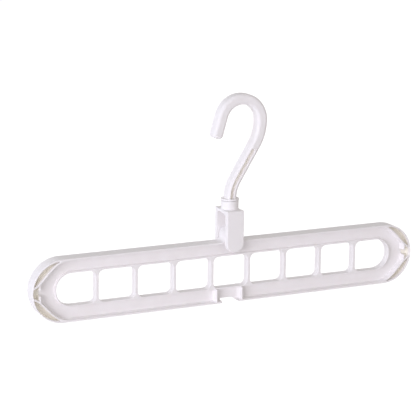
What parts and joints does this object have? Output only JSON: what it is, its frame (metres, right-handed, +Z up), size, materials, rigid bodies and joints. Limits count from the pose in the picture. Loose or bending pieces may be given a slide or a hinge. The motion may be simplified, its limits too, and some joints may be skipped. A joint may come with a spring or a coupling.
{
  "type": "rotating clothes hanger",
  "caption": "Rotating space-saving clothes hanger: a flat bar with a row of windows tilts in a yoke that swivels under a hook.",
  "frame": {"origin": "where the rail sits, at the top of the inside of the hook's arch, in the hook's middle plane", "axes": "+X along the bar, to the picture's right; +Y from the front to the back; +Z up. The bar is level at rest."},
  "size_m": [0.36, 0.0256, 0.1808],
  "materials": {
    "bar": "satin translucent white polypropylene",
    "yoke": "satin translucent white polypropylene",
    "hook": "satin translucent white polypropylene"
  },
  "bodies": {
    "hook": {"hook": "hook"},
    "yoke": {"yoke": "yoke"},
    "bar": {"bar": "bar"}
  },
  "joints": [
    {"name": "hook_swivel", "type": "hinge", "parent": "hook", "child": "yoke", "pos_m": [-0.0091, 0, -0.08235], "axis": [0, 0, 1], "continuous": true},
    {"name": "bar_tilt", "type": "hinge", "parent": "yoke", "child": "bar", "pos_m": [-0.0091, 0, -0.11245], "axis": [0, 1, 0], "range_deg": [-72, 72]}
  ]
}
